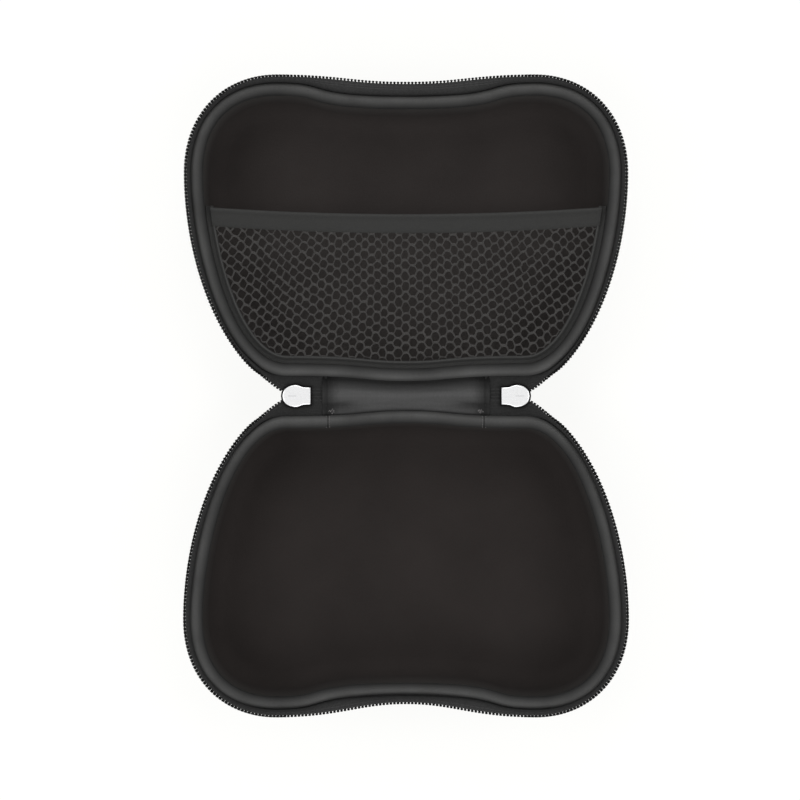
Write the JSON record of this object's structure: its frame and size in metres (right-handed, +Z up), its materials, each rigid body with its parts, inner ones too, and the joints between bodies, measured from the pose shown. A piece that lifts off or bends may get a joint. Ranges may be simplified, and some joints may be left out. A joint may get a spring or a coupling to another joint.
{
  "type": "controller carrying case",
  "caption": "Moulded zip case for a game controller, lying open: two tub halves with bound rims and coil zip, a cloth hinge and a net pocket in the lid.",
  "frame": {"origin": "under the middle of the hinge strip, on the surface that the two backs rest on", "axes": "+X along the hinge to the right, +Y from the base half towards the lid half, +Z up out of the open halves"},
  "size_m": [0.178, 0.2566, 0.0337],
  "materials": {
    "shell": "black fabric laminated on moulded foam, matt, smooth inside with a fine nap",
    "binding": "dark grey woven binding, soft sheen, stitched",
    "tape": "black woven zip tape",
    "coil": "black nylon coil",
    "hinge_cloth": "dark grey woven cloth with soft folds",
    "elastic": "dark grey knitted elastic",
    "net": "dark grey knitted net",
    "metal": "bright plated casting"
  },
  "bodies": {
    "base": {"base_shell": "shell", "base_lip_binding": "binding", "base_hinge_binding": "binding", "base_zip_tape": "tape", "base_zip_coil": "coil"},
    "spine": {"hinge_cloth": "hinge_cloth", "left_zip_end": "tape", "right_zip_end": "tape"},
    "lid": {"lid_shell": "shell", "lid_lip_binding": "binding", "lid_zip_tape": "tape", "lid_zip_coil": "coil", "pocket_band": "elastic", "pocket_edge": "binding", "pocket_net": "net"},
    "left_slider": {"left_slider": "metal"},
    "right_slider": {"right_slider": "metal"},
    "left_pull": {"left_pull": "metal"},
    "right_pull": {"right_pull": "metal"}
  },
  "joints": [
    {"name": "spine_fold", "type": "hinge", "parent": "base", "child": "spine", "pos_m": [0, -0.006, 0.028], "axis": [1, 0, 0], "range_deg": [0, 90]},
    {"name": "lid_fold", "type": "hinge", "parent": "spine", "child": "lid", "pos_m": [0, 0.006, 0.028], "axis": [1, 0, 0], "range_deg": [0, 90]},
    {"name": "left_slider_run", "type": "slide", "parent": "spine", "child": "left_slider", "axis": [1, 0, 0], "range_m": [0, 0.0034]},
    {"name": "right_slider_run", "type": "slide", "parent": "spine", "child": "right_slider", "axis": [-1, 0, 0], "range_m": [0, 0.0034]},
    {"name": "left_pull_swing", "type": "hinge", "parent": "left_slider", "child": "left_pull", "pos_m": [-0.0436, 0, 0.0235], "axis": [0, 1, 0], "range_deg": [-85, 85]},
    {"name": "right_pull_swing", "type": "hinge", "parent": "right_slider", "child": "right_pull", "pos_m": [0.0436, 0, 0.0235], "axis": [0, 1, 0], "range_deg": [-85, 85]}
  ],
  "couplings": [
    {"joint": "lid_fold", "follows": "spine_fold", "ratio": 1}
  ]
}
